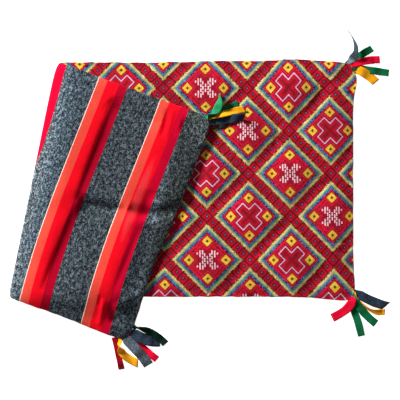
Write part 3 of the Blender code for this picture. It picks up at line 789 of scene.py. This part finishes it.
# Painted light and shade on the fleece, by distance from the flap's end along a way that slants across the
# stripes: paler and bluer where the flap's slope near the fold faces the light, and lighter at the flap's
# end to offset the shade of its slope
SHADE_SLANT = 0.143
SHADE_START = -0.050
SHADE_END = 0.300
WOOL_LIGHT_AND_SHADE = (
    (-0.040, "FFFCF4"), (-0.015, "C6C4BC"), (0.008, "BAB8B2"), (0.022, "F4FAFF"), (0.036, "BCC2C6"),
    (0.090, "AEB0B2"), (0.140, "AEB2B6"), (0.165, "C4C8CC"), (0.190, "CAD0D4"), (0.220, "B4BEC6"),
    (0.245, "BAC6CE"), (0.264, "DCE8F0"), (0.280, "FFFFFF"),
)

stripe_normal = np.array([np.cos(STRIPE_WAY), np.sin(STRIPE_WAY)])
stripe = np.empty(along.shape)
flap_stripe = -(flap_seam[..., :2] - STRIPE_START) @ stripe_normal
bow = STRIPE_BOW * np.sin(np.pi * (1.0 - across_share(row_y)) ** BOW_POWER)
pulled = PULLED_AT_FOLD * rounded(1.0 - across_share(row_y), PULLED_SHARE)
by_fold = smooth((flap_stripe - PULLED_FROM) / PULLED_REACH)
stripe[first_flap:] = flap_stripe - bow * (1.0 - by_fold) + pulled * by_fold
onward = stripe[first_flap] + PITCH - turn_x[-1]
stripe[first_turn:first_flap] = turn_x + onward
straighten = smooth((low_x - fold_x(row_y)) / STRAIGHT_AFTER)
stripe[:first_turn] = low_x + onward + (onward.mean() - onward) * straighten
wool_place = np.stack([stripe, across], axis=-1)

wool_lip = (BACK_CLOTH * lip(from_rim, BACK_CLOTH))[..., None]
wool_outer = seam - wool_lip * normal


def striped_wool_finish():
    """Brushed and slightly felted melange wool: dark and pale fibres mixed in flecks of a few millimetres,
    no gloss, and a soft bright fuzz where it turns away. The bands are dyed yarn in the same cloth."""
    made, add = new_finish("brushed_melange_wool_with_bands")
    place = add("UVMap", uv_map="Cloth")
    spread = add("Mapping", {0: place, "Scale": (1.0, FLECK_LENGTH, 1.0)})
    fleck = add("TexNoise", {0: spread, "Scale": 1.0 / WOOL_FLECK, "Detail": 3.0, "Roughness": 0.6})
    tuft = add("TexNoise", {0: spread, "Scale": 1.0 / WOOL_TUFT, "Detail": 2.0, "Roughness": 0.5})
    melange = add("MULTIPLY_ADD", tuft, TUFT_SHARE, fleck)
    melange = add("ValToRGB", melange, stops=WOOL_GREYS, steps="LINEAR")

    # Painted light and shade on the fleece: paler and bluer towards the fold, where the flap's slope faces
    # the light, and lighter at the flap's end against the shade of its slope
    shade = add("VECTOR_DOT_PRODUCT", place, (1.0, -SHADE_SLANT, 0.0), out=1)
    shade = add("MapRange", shade, SHADE_START, SHADE_END)
    shades = [(first - SHADE_START, tint) for first, tint in WOOL_LIGHT_AND_SHADE]
    shade = add("ValToRGB", shade, stops=shades, reach=SHADE_END - SHADE_START, steps="LINEAR")
    melange = add("Mix", 1.0, melange, shade, blend_type="MULTIPLY")

    # The bands, with edges as ragged as the yarn
    ragged = add("TexNoise", {0: place, "Scale": 420.0, "Detail": 1.0})
    across_bands = add("SeparateXYZ", place, out=0)
    across_bands = add("MULTIPLY_ADD", add("SUBTRACT", ragged, 0.5), RAGGED_EDGE, across_bands)
    turns = add("FLOORED_MODULO", add("MULTIPLY", across_bands, 1.0 / BAND_REPEAT), 1.0)
    dyed = add("ValToRGB", turns, stops=BANDS, reach=BAND_REPEAT)
    past_first = add("GREATER_THAN", turns, CRIMSON / BAND_REPEAT)
    in_band = add("MULTIPLY", past_first, add("LESS_THAN", turns, GREY / BAND_REPEAT))

    # A painted highlight turns one length of the red yarn nearest the flap's end coral
    painted_highlight = add("VECTOR_SUBTRACT", place, HIGHLIGHT_MIDDLE)
    painted_highlight = add("VECTOR_MULTIPLY", painted_highlight, HIGHLIGHT_PER_METRE)
    painted_highlight = add("MapRange", add("VECTOR_LENGTH", painted_highlight, out=1), *HIGHLIGHT_EDGE)
    dyed = add("Mix", painted_highlight, dyed, "E83C42")

    # Dye differences along the yarn and in patches, and painted shade darkening the crimson of the band
    # nearer the fold
    yarn = add("Mapping", {0: place, "Scale": (1.0, YARN_LENGTH, 1.0)})
    yarn = add("TexNoise", {0: yarn, "Scale": 700.0, "Detail": 2.0})
    tone = add("MapRange", add("MULTIPLY_ADD", yarn, 0.5, fleck), *YARN_SHADES)
    patch = add("TexNoise", {0: place, "Scale": 14.0, "Detail": 2.0})
    tone = add("MULTIPLY", tone, add("MapRange", patch, *DYE_PATCHES))
    crimson_middle = BAND_REPEAT + 0.5 * (RED + CRIMSON)
    painted_shade = add("COMPARE", across_bands, crimson_middle, 0.5 * (RED - CRIMSON))
    tone = add("MULTIPLY", tone, add("MULTIPLY_ADD", painted_shade, -CRIMSON_PAINTED_SHADE, 1.0))
    dyed = add("VECTOR_SCALE", {0: dyed, 3: tone})

    relief = add("MULTIPLY_ADD", tuft, 0.5, fleck)
    add("OutputMaterial", add("BsdfPrincipled", {
        "Base Color": add("Mix", in_band, melange, dyed),
        "Normal": add("Bump", {"Strength": 0.5, "Distance": 0.0008, "Height": relief}),
        "Roughness": 0.95,
        "Specular IOR Level": 0.05,
        "Sheen Weight": 0.03,
        "Sheen Roughness": 0.45,
        "Sheen Tint": "C8D4DC",
    }))
    return made


wool_back = closed_cloth("wool_back", wool_outer, seam, False, wool_place, striped_wool_finish())
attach(wool_back, "root")
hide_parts("pillow_back")

# Felt tassels. Each corner has five or six strips cut from wool felt in different colours, caught in the
# corner seam. They lie spread out on the floor or on the pad, a few curled or turned on edge.

FELT = 0.0015
STRIP_STEPS = 30
STRIP_CELLS = 8
LEVEL_STEP = 0.0019
REST_GAP = 0.0008
CUT_WOBBLE = 0.0004
SEWN_IN = 0.004
SEAM_REACH = 0.04
SEAT_HALF_WIDTH = 0.006
CUP = 0.05
LIFT = 0.0020
SQUEEZED_AT_ROOT = 0.4
THIN_EDGE = 0.12
ON_SWOLLEN_PUFF = 1.5

# Shares of a strip's length: by where it has its thickness, has rolled and lies at its height, and from
# where it goes to its tip's height and its cut end slants
THICK_BY, ROLLED_BY, LIES_BY, TIP_FROM, SLANTS_FROM = 0.1, 0.12, 0.3, 0.35, 0.6

# Seats are places along the seam, bends and tips are from the corner, and slant is how far a cut end's left
# corner runs past its right one, in millimetres. Rolls about the strip's own line are in degrees, given for
# its root, bend and tip. Opens is the share of its length in which a strip comes to its full width.
Strip = namedtuple("Strip", "felt seat bend tip width level tip_level rolls slant opens",
                   defaults=((0, 0, 0), 0, 0.28))

# Each tassel's name, corner, the way along its seam, the width of a strip's root in millimetres, whether it
# lies on the pad, and its strips
TASSELS = (
    ("tassel_lower_top", (0.302, 0.275), (-0.57, 0.82), 7.5, False, (
        Strip("charcoal", 4, (9, 26), (-6.5, 65.6), 20, 2, 0, (-16, 56, 84), 0, 0.30),
        Strip("dark_green", 5, (26, 20), (43, 30.5), 14.5, 1, 0),
        Strip("red", 0, (30, 4.5), (58.5, 7.5), 15.5, 1, 1, (0, -8, 8), -1, 0.18),
        Strip("dark_green", -4, (40, -14), (77, -19), 14.5, 0, 0, (0, 8, 0)),
        Strip("yellow", -6, (23, -17), (51, -38), 18, 1, 0, (0, 0, 4), 2, 0.15),
    )),
    ("tassel_lower_bottom", (0.303, -0.192), (0.55, 0.84), 7.5, False, (
        Strip("red", 0, (-4, -20), (-38, -43.6), 17.5, 2, 0, (30, 4, -4), 0, 0.2),
        Strip("dark_green", -5, (10, -40), (21, -80), 15, 0, 0),
        Strip("dark_green", 7, (21, -27), (50, -55), 16, 1, 1, (66, 6, 0), 0, 0.2),
        Strip("yellow", 10, (33, -24), (67, -31), 12.5, 0, 4, (84, 66, -4), 3),
        Strip("navy", 12, (36, -7), (70, -19), 19, 2, 2, (0, -6, 8), 13),
    )),
    ("tassel_flap_top", (0.018, 0.163), (-0.47, 0.88), 8.5, True, (
        Strip("light_green", 6, (17, 20), (21, 49.8), 17, 1, 1, (-138, -12, -82), 0, 0.02),
        Strip("dark_green", 3, (34, 20), (58, 31), 12, 0, 0),
        Strip("yellow", 1, (38, 12), (70.5, 19.5), 14, 1, 1, (-70, -26, 4), -5),
        Strip("navy", -5, (35, -1), (71, 4), 19, 2, 1, (0, -4, 52), 6, 0.15),
        Strip("dark_red", -9, (10, -13.5), (20, -15), 10, 0, 0),
    )),
    ("tassel_flap_bottom", (-0.147, -0.280), (0.92, 0.39), 12, False, (
        # This strip is red felt in a darker copy, as painted shade
        Strip("red_in_painted_shade", -20, (-16, -31), (-10.5, -58.8), 12.5, 1, 0, (0, 14, 0)),
        Strip("yellow", -13, (-8, -25), (23, -46), 16.5, 0, 3, (0, 146, 186), 5, 0.12),
        Strip("grey", -4, (24, -24), (44, -50), 20, 2, 1, (0, -8, 0), 0, 0.15),
        Strip("red", 4, (38, -20), (61, -39), 14, 0, 0),
        Strip("navy", 14, (39, 1), (66, -2), 22, 1, 0, (0, -8, 8), 0, 0.15),
        # This strip is dark green felt in a darker copy, as painted shade
        Strip("bottle_green", 22, (47, 17.5), (78.2, -7.6), 15, 2, 1, (80, 22, -6), 0, 0.2),
    )),
)

# Each felt's colour, its paler fibres' colour, and how much of those shows at most
FELTS = {
    "charcoal": ("566472", "B4C4D2", 0.8),
    "dark_green": ("04663C", "04864E", 0.24),
    # A darker copy of the dark green felt: painted shade
    "bottle_green": ("022618", "064228", 0.24),
    "red": ("E60030", "FA0A3E", 0.24),
    # A darker copy of the red felt: painted shade
    "red_in_painted_shade": ("840010", "AC0018", 0.32),
    "yellow": ("F2A008", "FCBE2A", 0.24),
    "light_green": ("1A7E4E", "2A9C66", 0.24),
    "navy": ("141C26", "56708C", 0.448),
    "dark_red": ("6A2A22", "8A3A30", 0.32),
    "grey": ("282F36", "8C9AAA", 0.72),
}
FIBRES_SHOW = (0.42, 0.66, 0.0)
FELT_CLOUDS = (0.3, 0.7, 0.86, 1.12)


def felt_finish(name, base, fibre, share):
    """Pressed wool felt: matt, cut edges, a tangle of fibres a shade lighter, and a soft bright fuzz. The
    fibres are too fine to show, so the tangle is drawn about 2 mm wide."""
    made, add = new_finish("pressed_wool_felt_" + name)
    place = add("TexCoord", out=3)
    fibres = {0: place, "Scale": 520.0, "Detail": 4.0, "Roughness": 0.65, "Distortion": 1.2}
    fibres = add("TexNoise", fibres)
    cloud = add("TexNoise", {0: place, "Scale": 90.0, "Detail": 2.0})
    mixed = add("MapRange", fibres, *FIBRES_SHOW, share)
    colour = add("Mix", mixed, base, fibre)
    tone = add("MapRange", cloud, *FELT_CLOUDS)
    add("OutputMaterial", add("BsdfPrincipled", {
        "Base Color": add("VECTOR_SCALE", {0: colour, 3: tone}),
        "Normal": add("Bump", {"Strength": 0.4, "Distance": 0.0005, "Height": fibres}),
        "Roughness": 0.95,
        "Specular IOR Level": 0.12,
        "Sheen Weight": 0.04,
        "Sheen Roughness": 0.5,
    }))
    return made


def lower_top(x, y):
    """Height of the lower layer's face at a place on the plan, with its puffs as high as they swell."""
    edge_distance = np.minimum(np.minimum(y - BOTTOM_EDGE, TOP_EDGE - y), RIGHT_END - x)
    u, v = diamond_place(*woven_place(x, y))
    hill = (1.0 - np.abs(u) ** PUFF_POWER) * (1.0 - np.abs(v) ** PUFF_POWER)
    high = CHANNEL_FILL + CROWN * np.sin(np.pi * across_share(y)) + ON_SWOLLEN_PUFF * PUFF * hill
    return FLOOR_LEVEL + GAP + RIM_FACE + (high - RIM_FACE) * rounded(edge_distance, FILL_REACH)


def underlay(plan, on_pad):
    """Height of what a strip lies on at places on the plan: the lower layer's face, or the floor."""
    return lower_top(plan[:, 0], plan[:, 1]) + REST_GAP if on_pad else np.zeros(len(plan))


def strip_sides(strip, root, root_width, root_height, corner, on_pad, seed):
    """The two faces of a strip, as grids. Its middle line is a curve through root, bend and tip on the
    plan. It rises from the seam to the height it lies at, rolls about its own line, and its cut edges
    and its lie are a little uneven."""
    t = np.linspace(0.0, 1.0, STRIP_STEPS + 1)
    bend, tip = np.array([strip.bend, strip.tip]) / 1000.0 + corner
    line, way = curve_through(root, bend, tip, t)
    way /= norm(way, axis=1, keepdims=True)
    side = np.stack([-way[:, 1], way[:, 0]], axis=1)
    rng = np.random.default_rng(seed)
    width = root_width + (strip.width / 1000.0 - root_width) * smooth(t / strip.opens)
    width += CUT_WOBBLE * np.sin(2 * np.pi * (rng.uniform(1.5, 2.5) * t + rng.uniform()))

    # How far it has rolled over, and its lowest and its lying height
    at_root, at_bend, at_tip = np.radians(strip.rolls)
    roll = at_root + (at_bend - at_root) * smooth(t / 0.5) + (at_tip - at_bend) * smooth((t - 0.5) / 0.5)
    roll *= smooth(t / ROLLED_BY)
    level = strip.level + (strip.tip_level - strip.level) * smooth((t - TIP_FROM) / (1.0 - TIP_FROM))
    spots = [line + side * width[:, None] * s for s in (-0.5, 0.0, 0.5)]
    floor = np.max([underlay(spot, on_pad) for spot in spots], axis=0)
    upside_down = np.clip(-np.cos(roll), 0.0, 1.0)
    lowest = floor + 0.5 * FELT * np.abs(np.cos(roll))
    lowest += (0.5 * np.abs(np.sin(roll)) + CUP * upside_down) * width
    rest = lowest + LEVEL_STEP * level
    lift = LIFT * np.sin(np.pi * t) * np.sin(2 * np.pi * (rng.uniform(0.6, 1.2) * t + rng.uniform())) ** 2
    height = np.maximum(root_height + (rest + lift - root_height) * smooth(t / LIES_BY), lowest)

    # Its middle surface, cupped across, with the cut end slanted
    places = np.linspace(-0.5, 0.5, STRIP_CELLS + 1)
    cosine, sine = np.cos(roll)[:, None], np.sin(roll)[:, None]
    across_width = places * width[:, None]
    cup = CUP * (4.0 * places**2) * width[:, None] * np.sin(np.pi * t * 0.9)[:, None]
    past = strip.slant / 1000.0 * places * smooth((t - SLANTS_FROM) / (1.0 - SLANTS_FROM))[:, None]
    plan = line[:, None] + side[:, None] * (across_width * cosine - cup * sine)[..., None]
    plan += past[..., None] * way[:, None]
    rise = height[:, None] + across_width * sine + cup * cosine
    middle = np.concatenate([plan, rise[..., None]], axis=-1)
    up = np.cross(*np.gradient(middle, axis=(0, 1)))
    up /= norm(up, axis=-1, keepdims=True)
    pressed = SQUEEZED_AT_ROOT + (1.0 - SQUEEZED_AT_ROOT) * smooth(t / THICK_BY)[:, None]
    thick = 0.5 * FELT * pressed * np.sqrt(np.clip(1.0 - (2.0 * places) ** 8, THIN_EDGE, 1.0))
    return middle + thick[..., None] * up, middle - thick[..., None] * up, line


rim_points = seam.reshape(-1, 3)[rim_indices(*along.shape)]
felts = {name: felt_finish(name, *felt) for name, felt in FELTS.items()}

for tassel_number, (tassel, corner_place, bar_way, root_width, on_pad, strips) in enumerate(TASSELS):
    bar_way = np.array(bar_way) / norm(bar_way)
    out_way = np.array([bar_way[1], -bar_way[0]])
    near = rim_points[norm(rim_points[:, :2] - corner_place, axis=1) < SEAM_REACH]
    for number, strip in enumerate(strips, start=1):
        # The strip is sewn in where the seam reaches furthest outwards at its seat
        seat = corner_place + strip.seat / 1000.0 * bar_way
        beside = near[np.abs((near[:, :2] - seat) @ bar_way) < SEAT_HALF_WIDTH]
        outwards = (beside[:, :2] - seat) @ out_way
        root = seat + (float(np.max(outwards)) - SEWN_IN) * out_way
        root_height = float(beside[np.argmax(outwards), 2])
        seed = 10 * tassel_number + number
        upper, lower, line = strip_sides(
            strip, root, root_width / 1000.0, root_height, corner_place, on_pad, seed)
        cut_length = float(norm(np.diff(line, axis=0), axis=1).sum())
        lengths = np.linspace(0.0, cut_length, STRIP_STEPS + 1)
        widths = np.linspace(0.0, strip.width / 1000.0, STRIP_CELLS + 1)
        strip_place = np.stack(np.meshgrid(lengths, widths, indexing="ij"), axis=-1)
        name = f"{tassel}_{number}_{strip.felt}"
        piece = closed_cloth(name, upper, lower, False, strip_place, felts[strip.felt])
        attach(piece, "root")
        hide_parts(tassel)

# The floor, the light and the camera. A plain white glowing floor, a soft light low at the upper left with
# a weak one opposite, and the camera straight above, with the frame 0.8 m wide at the pad's height.

FLOOR_HALF = 6.0
FLOOR_DROP = 0.0004
CAMERA_LENS = 120.0
SENSOR = 36.0
FRAME_WIDTH = 0.800
PAD_HEIGHT = 0.010
VIEW_MIDDLE = (0.0, 0.001)
ROOM_LIGHT = 0.17

ways = ((-1, -1), (1, -1), (1, 1), (-1, 1))
floor_mesh = bpy.data.meshes.new("floor")
floor_mesh.from_pydata([(x * FLOOR_HALF, y * FLOOR_HALF, -FLOOR_DROP) for x, y in ways], [], [(0, 1, 2, 3)])
floor_finish, add_to_floor = new_finish("matt_white_board")
add_to_floor("OutputMaterial", add_to_floor("BsdfPrincipled", {
    "Base Color": "F4F4F4",
    "Roughness": 0.9,
    "Emission Color": "FFFFFF",
    "Emission Strength": 0.90,
}))
floor_mesh.materials.append(floor_finish)
floor = new_object("floor", floor_mesh)

# Each lamp's name, place, size and power
LAMPS = (
    ("window_light", (-2.7, 2.4, 1.45), 0.9, 370.0),
    ("fill_light", (1.6, -1.5, 2.2), 2.4, 3.0),
)
for name, place, size, power in LAMPS:
    light = bpy.data.lights.new(name, "AREA")
    light.size = size
    light.energy = power
    holder = new_object(name, light)
    holder.location = place
    holder.rotation_mode = "QUATERNION"
    holder.rotation_quaternion = (-holder.location).to_track_quat("-Z", "Y")

world = bpy.data.worlds.new("soft_white_room")
world.use_nodes = True
room = world.node_tree.nodes["Background"].inputs
room["Color"].default_value = linear("FFFFFF")
room["Strength"].default_value = ROOM_LIGHT
bpy.context.scene.world = world
bpy.context.scene.view_settings.view_transform = "Standard"

camera_data = bpy.data.cameras.new("camera")
camera_data.lens = CAMERA_LENS
camera_data.sensor_width = SENSOR
camera = new_object("camera", camera_data)
camera.location = (*VIEW_MIDDLE, PAD_HEIGHT + FRAME_WIDTH * CAMERA_LENS / SENSOR)
bpy.context.scene.camera = camera
